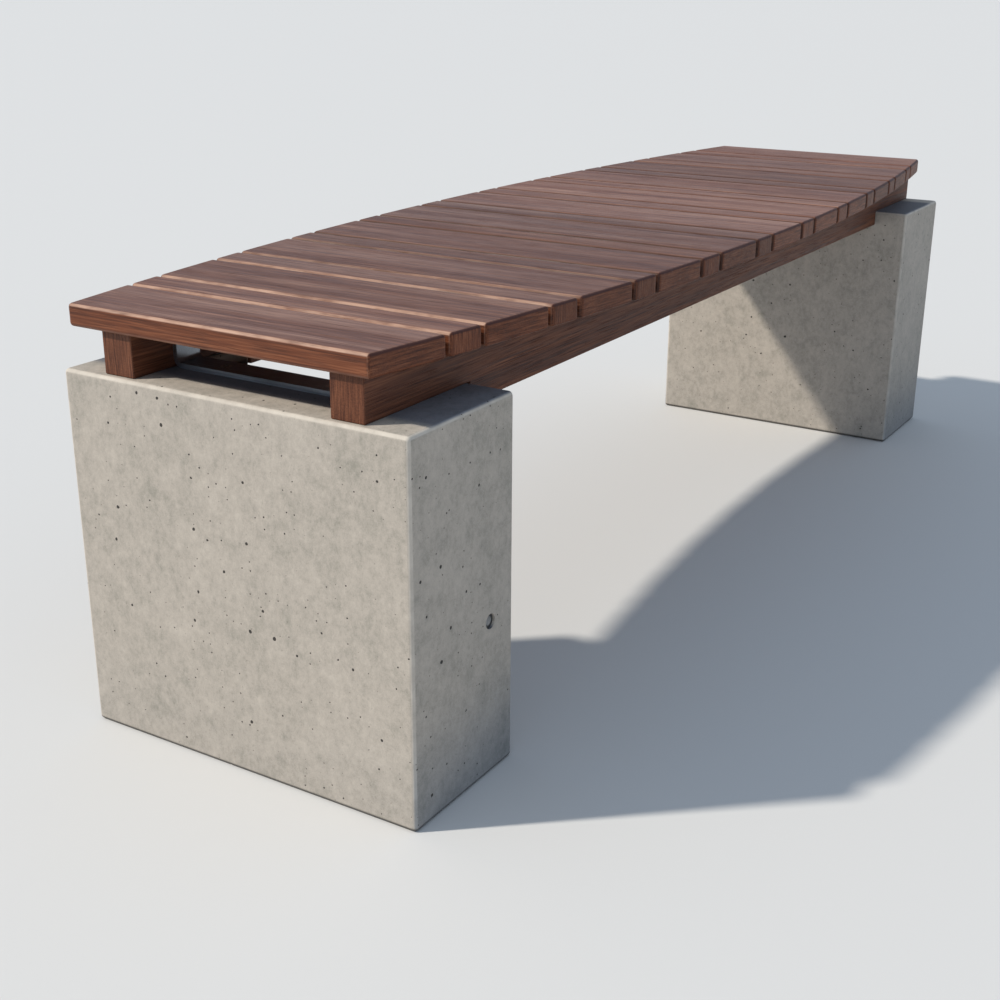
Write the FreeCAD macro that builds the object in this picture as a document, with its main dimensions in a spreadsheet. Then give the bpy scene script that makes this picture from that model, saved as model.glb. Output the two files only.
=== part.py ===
import FreeCAD, Part
import os

import Sketcher

# Garden bench, in millimetres. Two precast concrete legs carry two notched hardwood bearers, and
# twenty-one slats, wide and narrow in turn, lie across the bearers. The slat ends follow two long
# arcs, so the seat is widest in the middle. Folded steel straps tie the bearers to the legs.
#
# Frame: +X along the seat, +Z up. The origin is on the floor under the middle of the seat.

V = FreeCAD.Vector
WIDE_SLATS = 11
NARROW_SLATS = 10

doc = FreeCAD.newDocument("GardenBench")
sheet = doc.addObject("Spreadsheet::Sheet", "sizes")


# ---- driving dimensions -------------------------------------------------------------------------

DIMENSIONS = [
    # concrete legs
    ("leg_height", 390),
    ("leg_width", 416),
    ("leg_thickness", 172),
    ("leg_inset", 0.5),           # seat end to the leg's outer face
    ("leg_edge", 5),              # rounded arris
    ("recess_depth", 24),         # rebate in the leg's top, between the bearers
    ("recess_gap", 1),            # strap to rebate
    # slats
    ("wide_width", 95),
    ("narrow_width", 43),
    ("slat_gap", 5),
    ("slat_thickness", 23),
    ("slat_edge", 4),
    ("seat_width", 498),          # across the middle of the seat
    ("outline_radius", 4580),     # plan curve of the slat ends
    # bearers
    ("frame_offset", 12),         # legs and bearers stand this far towards -Y from the seat's middle
    ("bearer_width", 38),
    ("bearer_height", 44),        # above the leg
    ("bearer_drop", 22),          # extra depth between the legs
    ("bearer_spread", 276),       # between the bearers' centre lines
    ("bearer_inset", 7.5),        # seat end to the bearer's end
    ("bearer_edge", 1.5),
    ("notch_clearance", 2),       # leg's inner face to the bearer's shoulder
    # steel straps
    ("strap_width", 32),
    ("strap_thickness", 5),
    ("strap_setback", 62),        # leg's outer face to the strap
    ("strap_bend", 5),            # inner bend radius
    ("tab_clearance", 2),         # top of the tab to the slats
    # anchor screws and their cast-in sockets
    ("anchor_spread", 130),
    ("anchor_shank", 6),
    ("anchor_head", 12),
    ("anchor_length", 30),
    ("anchor_hole", 6.6),         # in the strap
    ("socket_outer", 12),
    ("socket_length", 40),
    ("socket_bottom", 5),         # solid end of the socket
    ("anchor_key", 4),            # hexagonal socket across flats
    ("anchor_key_depth", 2),
    # tab screws
    ("tab_screw_spread", 16),
    ("tab_screw_height", 26),     # above the leg
    ("tab_screw_shank", 4),
    ("tab_screw_head", 8),
    ("tab_screw_gap", 2),         # between a tip and the bearer's row of slat screws
    ("tab_key", 2.5),
    ("tab_key_depth", 1.4),
    # slat screws
    ("pair_spread", 60),          # between the two rows in a wide slat
    ("slat_screw_shank", 5),
    ("slat_screw_hole", 5.6),     # in the bearer
    ("slat_screw_head", 10),
    ("slat_screw_head_height", 3),
    ("slat_screw_length", 55),
    ("slat_key", 4),
    ("slat_key_depth", 2),
    ("head_bore", 12),
    ("head_recess", 4),           # head bore's depth above the leg's top
    ("tip_clearance", 1),
    # lifting ferrules and plugs
    ("lift_height", 168),
    ("lift_setback", 130),        # leg's outer face to the ferrule's axis
    ("ferrule_outer", 16),
    ("ferrule_bore", 12),
    ("ferrule_length", 60),
    ("ferrule_bottom", 8),
    ("ferrule_recess", 4),        # below the concrete face
    ("plug_flange", 1.5),
    ("plug_clearance", 0.2),
    ("plug_stem", 10),
]


def fillSheet():
    for row, (alias, value) in enumerate(DIMENSIONS, start=1):
        sheet.set("A%d" % row, alias)
        sheet.set("B%d" % row, str(value))
        sheet.setAlias("B%d" % row, alias)
    doc.recompute()


def value(expression):
    """The number that an expression over the sheet's cells gives."""
    result = sheet.evalExpression(expression)
    return float(getattr(result, "Value", result))


def cell(alias):
    return "sizes." + alias


fillSheet()

# ---- sizes that follow from the sheet -----------------------------------------------------------

PITCH = "(sizes.wide_width + sizes.narrow_width + 2 * sizes.slat_gap)"
SEAT_LENGTH = "(%d * sizes.wide_width + %d * sizes.narrow_width + %d * sizes.slat_gap)" % (
    WIDE_SLATS, NARROW_SLATS, WIDE_SLATS + NARROW_SLATS - 1)
LEG_OUTER = "(%s / 2 - sizes.leg_inset)" % SEAT_LENGTH
LEG_CENTRE = "(%s - sizes.leg_thickness / 2)" % LEG_OUTER
LEG_INNER = "(%s - sizes.leg_thickness)" % LEG_OUTER
BEARER_HALF = "(%s / 2 - sizes.bearer_inset)" % SEAT_LENGTH
BEARER_SHOULDER = "(%s - sizes.notch_clearance)" % LEG_INNER
BEARER_INNER = "(sizes.bearer_spread / 2 - sizes.bearer_width / 2)"
STRAP_CENTRE = "(%s - sizes.strap_setback - sizes.strap_width / 2)" % LEG_OUTER
SLAT_BOTTOM = "(sizes.leg_height + sizes.bearer_height)"
SCREW_SEAT = "(sizes.leg_height + sizes.head_recess)"
PILOT_DEPTH = "(sizes.slat_screw_length - sizes.bearer_height + sizes.head_recess + sizes.tip_clearance)"
TAB_SCREW_LENGTH = ("(sizes.strap_thickness + sizes.bearer_width / 2 - sizes.slat_screw_hole / 2"
                    " - sizes.tab_screw_gap)")


# ---- helpers ------------------------------------------------------------------------------------

def makeBody(label, compound=False):
    body = doc.addObject("PartDesign::Body", label)
    body.Label = label
    body.AllowCompound = compound
    return body


def originItem(body, role):
    for item in body.Origin.OriginFeatures:
        if item.Role == role:
            return item
    raise ValueError("no origin item " + role)


def place(body, x="0", y="0", z="0", turn=0):
    """Placement of a body, bound to expressions, turned about Z by a fixed angle."""
    body.Placement = FreeCAD.Placement(V(0, 0, 0), FreeCAD.Rotation(V(0, 0, 1), turn))
    for axis, expression in (("x", x), ("y", y), ("z", z)):
        body.setExpression("Placement.Base." + axis, expression)


def makeSketch(body, name, plane="XY_Plane", offset=None, across=None, up=None):
    """A sketch on an origin plane, moved along the plane's normal and within the plane."""
    sketch = body.newObject("Sketcher::SketchObject", name)
    sketch.AttachmentSupport = [(originItem(body, plane), "")]
    sketch.MapMode = "FlatFace"
    for axis, expression in (("x", across), ("y", up), ("z", offset)):
        if expression:
            sketch.setExpression("AttachmentOffset.Base." + axis, expression)
    return sketch


def constrain(sketch, kind, *items):
    """A constraint; a trailing string binds it to the sheet, and its starting value is worked out."""
    if isinstance(items[-1], str):
        expression = items[-1]
        index = sketch.addConstraint(Sketcher.Constraint(kind, *items[:-1], value(expression)))
        sketch.setExpression("Constraints[%d]" % index, expression)
        return index
    return sketch.addConstraint(Sketcher.Constraint(kind, *items))


def fromAxis(sketch, kind, geometry, point, expression):
    """Distance of a point from the sketch's origin along one axis; the expression may be negative."""
    if value(expression) >= 0:
        constrain(sketch, kind, -1, 1, geometry, point, expression)
    else:
        constrain(sketch, kind, geometry, point, -1, 1, "-1 * (%s)" % expression)


def addPolygon(sketch, corners):
    """Closed outline through corners given as pairs of expressions, each corner held by two distances."""
    points = [V(value(x), value(y), 0) for x, y in corners]
    count = len(points)
    lines = []
    for i in range(count):
        segment = Part.LineSegment(points[i], points[(i + 1) % count])
        lines.append(sketch.addGeometry(segment))
    for i in range(count):
        constrain(sketch, "Coincident", lines[i], 2, lines[(i + 1) % count], 1)
    for i, (x, y) in enumerate(corners):
        holdPoint(sketch, lines[i], 1, x, y)
    return lines


def holdPoint(sketch, geometry, point, x, y):
    for kind, expression, axis in (("DistanceX", x, -2), ("DistanceY", y, -1)):
        if abs(value(expression)) < 1e-9:
            constrain(sketch, "PointOnObject", geometry, point, axis)
        else:
            fromAxis(sketch, kind, geometry, point, expression)


def addCircle(sketch, x, y, diameter):
    centre = V(value(x), value(y), 0)
    circle = sketch.addGeometry(Part.Circle(centre, V(0, 0, 1), value(diameter) / 2))
    holdPoint(sketch, circle, 3, x, y)
    constrain(sketch, "Diameter", circle, diameter)
    return circle


def makePad(body, sketch, length, symmetric=False):
    pad = body.newObject("PartDesign::Pad", sketch.Name + "_pad")
    pad.Profile = sketch
    if symmetric:
        pad.SideType = "Symmetric"
    pad.setExpression("Length", length)
    doc.recompute()
    return pad


def makePocket(body, sketch, depth=None, alongNormal=True):
    """A pocket cut along the sketch plane's normal, or against it; no depth cuts right through."""
    before = body.Shape.Volume
    pocket = body.newObject("PartDesign::Pocket", sketch.Name + "_pocket")
    pocket.Profile = sketch
    pocket.Reversed = alongNormal
    if depth:
        pocket.setExpression("Length", depth)
    else:
        pocket.Type = "ThroughAll"
    doc.recompute()
    needLess(pocket, before)
    return pocket


def needLess(feature, before):
    if not feature.Shape.Volume < before - 1e-3:
        raise ValueError(feature.Name + " cuts nothing")


def makeFillet(body, feature, edges, radius):
    fillet = body.newObject("PartDesign::Fillet", feature.Name + "_fillet")
    fillet.Base = (feature, edges)
    fillet.setExpression("Radius", radius)
    doc.recompute()
    return fillet


def edgesWhere(shape, test):
    return ["Edge%d" % (i + 1) for i, edge in enumerate(shape.Edges) if test(edge)]


def allEdges(shape):
    return edgesWhere(shape, lambda edge: True)


def makeTurned(body, sketch):
    """A full turn of the sketch about its own vertical axis."""
    turned = body.newObject("PartDesign::Revolution", sketch.Name + "_turned")
    turned.Profile = sketch
    turned.ReferenceAxis = (sketch, ["V_Axis"])
    doc.recompute()
    return turned


def makeHole(body, sketch, diameter, headDiameter):
    """Countersunk holes through the wall, cut against the sketch plane's normal."""
    before = body.Shape.Volume
    hole = body.newObject("PartDesign::Hole", sketch.Name + "_hole")
    hole.Profile = sketch
    hole.DepthType = "ThroughAll"
    hole.setExpression("Diameter", diameter)
    hole.HoleCutType = "Countersink"
    hole.HoleCutCustomValues = True
    hole.setExpression("HoleCutDiameter", headDiameter)
    hole.HoleCutCountersinkAngle = 90
    doc.recompute()
    needLess(hole, before)
    return hole


def makeRow(body, name, role, length, count, originals=None):
    """Copies in a line: of the given features, or of the whole body when none are given."""
    row = body.newObject("PartDesign::LinearPattern", name)
    if originals:
        row.Originals = originals
    else:
        row.TransformMode = "Whole shape"
    row.Direction = (originItem(body, role), [""])
    row.setExpression("Length", length)
    row.Occurrences = count
    body.Tip = row
    doc.recompute()
    return row


def makeHalfTurn(body, name):
    """A second copy of the body's shape, half a turn about the bench's vertical middle line."""
    turn = body.newObject("PartDesign::PolarPattern", name)
    turn.TransformMode = "Whole shape"
    turn.Axis = (originItem(body, "Z_Axis"), [""])
    turn.Angle = 360
    turn.Occurrences = 2
    body.Tip = turn
    doc.recompute()
    return turn


def makeMirror(body, name, plane, originals=None):
    """The given features, or the whole body, mirrored in an origin plane."""
    mirror = body.newObject("PartDesign::Mirrored", name)
    if originals:
        mirror.Originals = originals
    else:
        mirror.TransformMode = "Whole shape"
    mirror.MirrorPlane = (originItem(body, plane), [""])
    body.Tip = mirror
    doc.recompute()
    return mirror


def minus(expression):
    return "-1 * (%s)" % expression


# ---- concrete legs ------------------------------------------------------------------------------

def makeLeg(label, side):
    """One casting, used at both ends; its inner face is at local +X, and side is -1 or 1."""
    body = makeBody(label)
    half = "sizes.leg_thickness / 2"
    halfWidth = "sizes.leg_width / 2"
    outline = makeSketch(body, label + "_outline")
    addPolygon(outline, [
        (minus(half), minus(halfWidth)),
        (half, minus(halfWidth)),
        (half, halfWidth),
        (minus(half), halfWidth)])
    block = makePad(body, outline, "sizes.leg_height")
    makeFillet(body, block, allEdges(block.Shape), "sizes.leg_edge")

    strapAt = "(sizes.strap_setback - %s)" % half
    recessStart = "(%s + sizes.strap_width + sizes.recess_gap)" % strapAt
    recessEnd = "(%s + sizes.leg_edge)" % half
    recess = makeSketch(body, label + "_recess", offset="sizes.leg_height")
    addPolygon(recess, [
        (recessStart, minus(BEARER_INNER)),
        (recessEnd, minus(BEARER_INNER)),
        (recessEnd, BEARER_INNER),
        (recessStart, BEARER_INNER)])
    makePocket(body, recess, "sizes.recess_depth", alongNormal=False)

    sockets = makeSketch(body, label + "_sockets", offset="sizes.leg_height")
    socketAt = "(%s + sizes.strap_width / 2)" % strapAt
    addCircle(sockets, socketAt, "sizes.anchor_spread / 2", "sizes.socket_outer")
    addCircle(sockets, socketAt, "-1 * sizes.anchor_spread / 2", "sizes.socket_outer")
    makePocket(body, sockets, "sizes.socket_length", alongNormal=False)

    lifting = makeSketch(body, label + "_lifting", "XZ_Plane", offset=halfWidth)
    addCircle(lifting, "sizes.lift_setback - " + half, "sizes.lift_height", "sizes.ferrule_outer")
    makePocket(body, lifting, "sizes.ferrule_recess + sizes.ferrule_length", alongNormal=False)

    place(body, x="%d * %s" % (side, LEG_CENTRE), y="-1 * sizes.frame_offset", turn=90 + 90 * side)
    return body


# ---- bearers ------------------------------------------------------------------------------------

FIRST_WIDE = "(sizes.wide_width / 2 - %s / 2)" % SEAT_LENGTH
FIRST_NARROW = "(%s + %s / 2)" % (FIRST_WIDE, PITCH)
WIDE_ROW = "%d * %s" % (WIDE_SLATS - 1, PITCH)
NARROW_ROW = "%d * %s" % (NARROW_SLATS - 1, PITCH)


def makeBearer(label, side):
    """A notched beam; local Z is 0 on the legs' top and its inner face is at local +Y."""
    body = makeBody(label)
    profile = makeSketch(body, label + "_profile", "XZ_Plane")
    addPolygon(profile, [
        (minus(BEARER_HALF), "0"),
        (minus(BEARER_SHOULDER), "0"),
        (minus(BEARER_SHOULDER), "-1 * sizes.bearer_drop"),
        (BEARER_SHOULDER, "-1 * sizes.bearer_drop"),
        (BEARER_SHOULDER, "0"),
        (BEARER_HALF, "0"),
        (BEARER_HALF, "sizes.bearer_height"),
        (minus(BEARER_HALF), "sizes.bearer_height")])
    beam = makePad(body, profile, "sizes.bearer_width", symmetric=True)
    makeFillet(body, beam, edgesWhere(beam.Shape, isOuterEdge), "sizes.bearer_edge")

    drillRow(body, label + "_wide", WIDE_SLATS, WIDE_ROW, [
        "%s - sizes.pair_spread / 2" % FIRST_WIDE,
        "%s + sizes.pair_spread / 2" % FIRST_WIDE])
    drillRow(body, label + "_narrow", NARROW_SLATS, NARROW_ROW, [FIRST_NARROW])

    pilots = makeSketch(body, label + "_tab_pilots", "XZ_Plane", offset="-1 * sizes.bearer_width / 2")
    for end in (-1, 1):
        for step in (-1, 1):
            x = "%d * %s + %d * sizes.tab_screw_spread / 2" % (end, STRAP_CENTRE, step)
            addCircle(pilots, x, "sizes.tab_screw_height", "sizes.tab_screw_shank")
    makePocket(body, pilots, "%s - sizes.strap_thickness + sizes.tip_clearance" % TAB_SCREW_LENGTH)

    y = "%d * sizes.bearer_spread / 2 - sizes.frame_offset" % side
    place(body, y=y, z="sizes.leg_height", turn=90 + 90 * side)
    return body


def isOuterEdge(edge):
    """Every edge of the notched beam but the two inside corners of its notches."""
    box = edge.BoundBox
    inside = abs(box.ZMax) < 1e-6 and abs(box.ZMin) < 1e-6 and box.XLength < 1e-6
    return not (inside and abs(abs(box.XMin) - value(BEARER_SHOULDER)) < 1e-6)


def drillRow(body, name, count, length, positions):
    """Head bores and clearance holes from below, at each position and again along the beam."""
    bores = makeSketch(body, name + "_bores", offset="-1 * sizes.bearer_drop")
    holes = makeSketch(body, name + "_holes", offset="-1 * sizes.bearer_drop")
    for x in positions:
        addCircle(bores, x, "0", "sizes.head_bore")
        addCircle(holes, x, "0", "sizes.slat_screw_hole")
    boreCut = makePocket(body, bores, "sizes.bearer_drop + sizes.head_recess")
    holeCut = makePocket(body, holes)
    makeRow(body, name + "_row", "X_Axis", length, count, [boreCut, holeCut])


# ---- slats --------------------------------------------------------------------------------------

def makeSlat(label, index):
    """A board across the seat; its two ends lie on the seat's long arcs. Local Z is 0 underneath."""
    isWide = index % 2 == 0
    width = "sizes.wide_width" if isWide else "sizes.narrow_width"
    left = "(%d * sizes.wide_width + %d * sizes.narrow_width + %d * sizes.slat_gap - %s / 2)" % (
        (index + 1) // 2, index // 2, index, SEAT_LENGTH)
    right = "(%s + %s)" % (left, width)
    body = makeBody(label)
    outline = makeSketch(body, label + "_outline")
    addSlatOutline(outline, left, right)
    board = makePad(body, outline, "sizes.slat_thickness")
    makeFillet(body, board, allEdges(board.Shape), "sizes.slat_edge")

    pilots = makeSketch(body, label + "_pilots")
    middle = "(%s + %s / 2)" % (left, width)
    steps = (-1, 1) if isWide else (0,)
    for step in steps:
        for side in (-1, 1):
            x = "%s + %d * sizes.pair_spread / 2" % (middle, step)
            y = "%d * sizes.bearer_spread / 2 - sizes.frame_offset" % side
            addCircle(pilots, x, y, "sizes.slat_screw_shank")
    makePocket(body, pilots, PILOT_DEPTH)
    place(body, z=SLAT_BOTTOM)
    return body


def addSlatOutline(sketch, left, right):
    """Two straight sides and two arcs whose centres lie on the seat's middle line."""
    radius = value("sizes.outline_radius")
    centre = radius - value("sizes.seat_width / 2")
    x1 = value(left)
    x2 = value(right)
    y1 = (radius ** 2 - x1 ** 2) ** 0.5 - centre
    y2 = (radius ** 2 - x2 ** 2) ** 0.5 - centre
    rearArc = Part.Arc(V(x2, y2, 0), arcMiddle(x1, x2, radius, centre), V(x1, y1, 0))
    frontArc = Part.Arc(V(x1, -y1, 0), -1 * arcMiddle(-x1, -x2, radius, centre), V(x2, -y2, 0))
    leftSide = sketch.addGeometry(Part.LineSegment(V(x1, y1, 0), V(x1, -y1, 0)))
    front = sketch.addGeometry(frontArc)
    rightSide = sketch.addGeometry(Part.LineSegment(V(x2, -y2, 0), V(x2, y2, 0)))
    rear = sketch.addGeometry(rearArc)
    constrain(sketch, "Coincident", leftSide, 2, front, 1)
    constrain(sketch, "Coincident", front, 2, rightSide, 1)
    constrain(sketch, "Coincident", rightSide, 2, rear, 1)
    constrain(sketch, "Coincident", rear, 2, leftSide, 1)
    constrain(sketch, "Vertical", leftSide)
    constrain(sketch, "Vertical", rightSide)
    constrain(sketch, "PointOnObject", rear, 3, -2)
    constrain(sketch, "Symmetric", rear, 3, front, 3, -1, 1)
    constrain(sketch, "Equal", rear, front)
    constrain(sketch, "Radius", rear, "sizes.outline_radius")
    fromAxis(sketch, "DistanceY", rear, 3, "sizes.seat_width / 2 - sizes.outline_radius")
    fromAxis(sketch, "DistanceX", leftSide, 1, left)
    fromAxis(sketch, "DistanceX", rightSide, 1, right)


def arcMiddle(x1, x2, radius, centre):
    x = (x1 + x2) / 2
    return V(x, (radius ** 2 - x ** 2) ** 0.5 - centre, 0)


# ---- steel straps -------------------------------------------------------------------------------

def makeStrap(label, side):
    """A flat bar folded up at both ends; local Z is 0 on the leg's top."""
    body = makeBody(label)
    inner = "(%s - sizes.strap_thickness)" % BEARER_INNER
    top = "(sizes.bearer_height - sizes.tab_clearance)"
    section = makeSketch(body, label + "_section", "YZ_Plane")
    addPolygon(section, [
        (minus(BEARER_INNER), "0"),
        (BEARER_INNER, "0"),
        (BEARER_INNER, top),
        (inner, top),
        (inner, "sizes.strap_thickness"),
        (minus(inner), "sizes.strap_thickness"),
        (minus(inner), top),
        (minus(BEARER_INNER), top)])
    bar = makePad(body, section, "sizes.strap_width", symmetric=True)
    inside = makeFillet(body, bar, bendEdges(bar.Shape, inner, "sizes.strap_thickness"), "sizes.strap_bend")
    outsideEdges = bendEdges(inside.Shape, BEARER_INNER, "0")
    makeFillet(body, inside, outsideEdges, "sizes.strap_bend + sizes.strap_thickness")

    anchors = makeSketch(body, label + "_anchor_holes", offset="sizes.strap_thickness")
    for end in (-1, 1):
        addCircle(anchors, "0", "%d * sizes.anchor_spread / 2" % end, "sizes.anchor_hole")
    makeHole(body, anchors, "sizes.anchor_hole", "sizes.anchor_head")

    tabs = makeSketch(body, label + "_tab_holes", "XZ_Plane", offset=minus(inner))
    for step in (-1, 1):
        addCircle(tabs, "%d * sizes.tab_screw_spread / 2" % step, "sizes.tab_screw_height",
                  "sizes.tab_screw_shank")
    tabHoles = makeHole(body, tabs, "sizes.tab_screw_shank", "sizes.tab_screw_head")
    makeMirror(body, label + "_other_tab", "XZ_Plane", [tabHoles])

    place(body, x="%d * %s" % (side, STRAP_CENTRE), y="-1 * sizes.frame_offset", z="sizes.leg_height")
    return body


def bendEdges(shape, y, z):
    """The two edges along X at plus and minus y, at height z."""
    wantedY = value(y)
    wantedZ = value(z)

    def isBend(edge):
        box = edge.BoundBox
        isAlongX = box.YLength < 1e-6 and box.ZLength < 1e-6
        return isAlongX and abs(abs(box.YMin) - wantedY) < 1e-6 and abs(box.ZMin - wantedZ) < 1e-6
    return edgesWhere(shape, isBend)


# ---- fasteners and sockets ----------------------------------------------------------------------

def addKey(body, key, plane, offset, across, up, alongNormal):
    """A hexagonal socket in a screw's head; key names its size in the sheet."""
    sketch = makeSketch(body, body.Label + "_" + key, plane, offset, across, up)
    flat = "sizes.%s / 2" % key
    corner = "sizes.%s / sqrt(3)" % key
    addPolygon(sketch, [
        (flat, "0.5 * " + corner),
        ("0", corner),
        (minus(flat), "0.5 * " + corner),
        (minus(flat), "-0.5 * " + corner),
        ("0", minus(corner)),
        (flat, "-0.5 * " + corner)])
    return makePocket(body, sketch, "sizes.%s_depth" % key, alongNormal)


def countersunkProfile(head, shank, length, way):
    """Half section of a countersunk screw, from the head's face at 0, pointing along way (1 or -1)."""
    sign = "%d * " % way
    cone = "(%s - %s) / 2" % (head, shank)
    return [
        ("0", "0"),
        (head + " / 2", "0"),
        (shank + " / 2", sign + cone),
        (shank + " / 2", "%s(%s - %s / 2)" % (sign, length, shank)),
        ("0", sign + length)]


def makeAnchorScrews(label):
    body = makeBody(label, compound=True)
    x = minus(STRAP_CENTRE)
    y = "sizes.anchor_spread / 2"
    profile = makeSketch(body, label + "_profile", "XZ_Plane", offset=y, across=x)
    addPolygon(profile, countersunkProfile(
        "sizes.anchor_head", "sizes.anchor_shank", "sizes.anchor_length", -1))
    makeTurned(body, profile)
    addKey(body, "anchor_key", "XY_Plane", "0", x, minus(y), alongNormal=False)
    makeRow(body, label + "_pair", "Y_Axis", "sizes.anchor_spread", 2)
    makeHalfTurn(body, label + "_both")
    place(body, y="-1 * sizes.frame_offset", z="sizes.leg_height + sizes.strap_thickness")
    return body


def makeAnchorSockets(label):
    """Blind threaded sockets, cast flush with the legs' tops."""
    body = makeBody(label, compound=True)
    profile = makeSketch(body, label + "_profile", "XZ_Plane",
                         offset="sizes.anchor_spread / 2", across=minus(STRAP_CENTRE))
    boreEnd = "(sizes.socket_bottom - sizes.socket_length)"
    addPolygon(profile, [
        ("sizes.anchor_shank / 2", "0"),
        ("sizes.socket_outer / 2", "0"),
        ("sizes.socket_outer / 2", "-1 * sizes.socket_length"),
        ("0", "-1 * sizes.socket_length"),
        ("0", boreEnd),
        ("sizes.anchor_shank / 2", boreEnd)])
    makeTurned(body, profile)
    makeRow(body, label + "_pair", "Y_Axis", "sizes.anchor_spread", 2)
    makeHalfTurn(body, label + "_both")
    place(body, y="-1 * sizes.frame_offset", z="sizes.leg_height")
    return body


def makeTabScrews(label):
    """Countersunk screws through the straps' tabs into the bearers' inner faces."""
    body = makeBody(label, compound=True)
    x = "(-1 * %s - sizes.tab_screw_spread / 2)" % STRAP_CENTRE
    y = "(sizes.strap_thickness - %s)" % BEARER_INNER
    profile = makeSketch(body, label + "_profile", "XY_Plane", across=x, up=y)
    addPolygon(profile, countersunkProfile(
        "sizes.tab_screw_head", "sizes.tab_screw_shank", TAB_SCREW_LENGTH, -1))
    makeTurned(body, profile)
    addKey(body, "tab_key", "XZ_Plane", minus(y), x, "0", alongNormal=True)
    makeRow(body, label + "_pair", "X_Axis", "sizes.tab_screw_spread", 2)
    makeRow(body, label + "_straps", "X_Axis", "2 * " + STRAP_CENTRE, 2)
    makeMirror(body, label + "_tabs", "XZ_Plane")
    place(body, y="-1 * sizes.frame_offset", z="sizes.leg_height + sizes.tab_screw_height")
    return body


def addSlatScrew(body, name, x):
    """One screw standing on its head; its bearing face is at local Z 0."""
    y = "sizes.bearer_spread / 2"
    shank = "sizes.slat_screw_shank / 2"
    profile = makeSketch(body, name + "_profile", "XZ_Plane", offset=y, across=x)
    addPolygon(profile, [
        ("0", "-1 * sizes.slat_screw_head_height"),
        ("sizes.slat_screw_head / 2", "-1 * sizes.slat_screw_head_height"),
        ("sizes.slat_screw_head / 2", "0"),
        (shank, "0"),
        (shank, "sizes.slat_screw_length - " + shank),
        ("0", "sizes.slat_screw_length")])
    turned = makeTurned(body, profile)
    key = addKey(body, "slat_key", "XY_Plane", "-1 * sizes.slat_screw_head_height", x, minus(y),
                 alongNormal=True)
    return [turned, key]


def makeSlatScrews(label):
    body = makeBody(label, compound=True)
    addSlatScrew(body, label + "_wide", "%s - sizes.pair_spread / 2" % FIRST_WIDE)
    makeRow(body, label + "_pair", "X_Axis", "sizes.pair_spread", 2)
    makeRow(body, label + "_wide_row", "X_Axis", WIDE_ROW, WIDE_SLATS)
    narrow = addSlatScrew(body, label + "_narrow", FIRST_NARROW)
    makeRow(body, label + "_narrow_row", "X_Axis", NARROW_ROW, NARROW_SLATS, narrow)
    makeRow(body, label + "_bearers", "Y_Axis", "sizes.bearer_spread", 2)
    place(body, y="-1 * sizes.frame_offset", z=SCREW_SEAT)
    return body


def makeSideItems(label, corners):
    """A round item in one narrow side of each leg, about a Y axis, from a half section."""
    body = makeBody(label, compound=True)
    x = "(sizes.lift_setback - %s)" % LEG_OUTER
    y = "(sizes.ferrule_recess - sizes.leg_width / 2)"
    profile = makeSketch(body, label + "_profile", "XY_Plane", across=x, up=y)
    addPolygon(profile, corners)
    makeTurned(body, profile)
    makeHalfTurn(body, label + "_both")
    place(body, y="-1 * sizes.frame_offset", z="sizes.lift_height")
    return body


def makeFerrules(label):
    boreEnd = "(sizes.ferrule_length - sizes.ferrule_bottom)"
    return makeSideItems(label, [
        ("sizes.ferrule_bore / 2", "0"),
        ("sizes.ferrule_outer / 2", "0"),
        ("sizes.ferrule_outer / 2", "sizes.ferrule_length"),
        ("0", "sizes.ferrule_length"),
        ("0", boreEnd),
        ("sizes.ferrule_bore / 2", boreEnd)])


def makePlugs(label):
    flange = "(sizes.ferrule_outer / 2 - sizes.plug_clearance)"
    stem = "(sizes.ferrule_bore / 2 - sizes.plug_clearance)"
    return makeSideItems(label, [
        ("0", "-1 * sizes.plug_flange"),
        (flange, "-1 * sizes.plug_flange"),
        (flange, "0"),
        (stem, "0"),
        (stem, "sizes.plug_stem"),
        ("0", "sizes.plug_stem")])


# ---- the bench ----------------------------------------------------------------------------------

def makeBench():
    nodes = [
        makeLeg("leg_left", -1),
        makeLeg("leg_right", 1),
        makeBearer("bearer_front", -1),
        makeBearer("bearer_rear", 1)]
    for index in range(WIDE_SLATS + NARROW_SLATS):
        kind = "wide" if index % 2 == 0 else "narrow"
        nodes.append(makeSlat("%s_slat_%02d" % (kind, index // 2 + 1), index))
    nodes.append(makeStrap("strap_left", -1))
    nodes.append(makeStrap("strap_right", 1))
    nodes.append(makeAnchorScrews("anchor_screws"))
    nodes.append(makeAnchorSockets("anchor_sockets"))
    nodes.append(makeTabScrews("tab_screws"))
    nodes.append(makeSlatScrews("slat_screws"))
    nodes.append(makeFerrules("lifting_ferrules"))
    nodes.append(makePlugs("lifting_plugs"))
    return nodes


SOLIDS = {
    "anchor_screws": 4,
    "anchor_sockets": 4,
    "tab_screws": 8,
    "slat_screws": 2 * (2 * WIDE_SLATS + NARROW_SLATS),
    "lifting_ferrules": 2,
    "lifting_plugs": 2,
}


def checkDocument(nodes):
    for item in doc.Objects:
        if "Invalid" in item.State or "Error" in item.State:
            raise ValueError("%s is %s" % (item.Name, item.State))
    for node in nodes:
        shape = node.Shape
        if shape.isNull() or not shape.isValid():
            raise ValueError(node.Label + " has no valid shape")
        if len(shape.Solids) != SOLIDS.get(node.Label, 1):
            raise ValueError("%s has %d solids" % (node.Label, len(shape.Solids)))


def exportNodes(nodes):
    os.makedirs("parts", exist_ok=True)
    for node in nodes:
        node.Shape.exportStep(os.path.join("parts", node.Label + ".step"))
        box = node.Shape.BoundBox
        print("%-18s %3d solids  %9.1f mm3  X %.1f..%.1f  Y %.1f..%.1f  Z %.1f..%.1f" % (
            node.Label, len(node.Shape.Solids), node.Shape.Volume,
            box.XMin, box.XMax, box.YMin, box.YMax, box.ZMin, box.ZMax))


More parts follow.
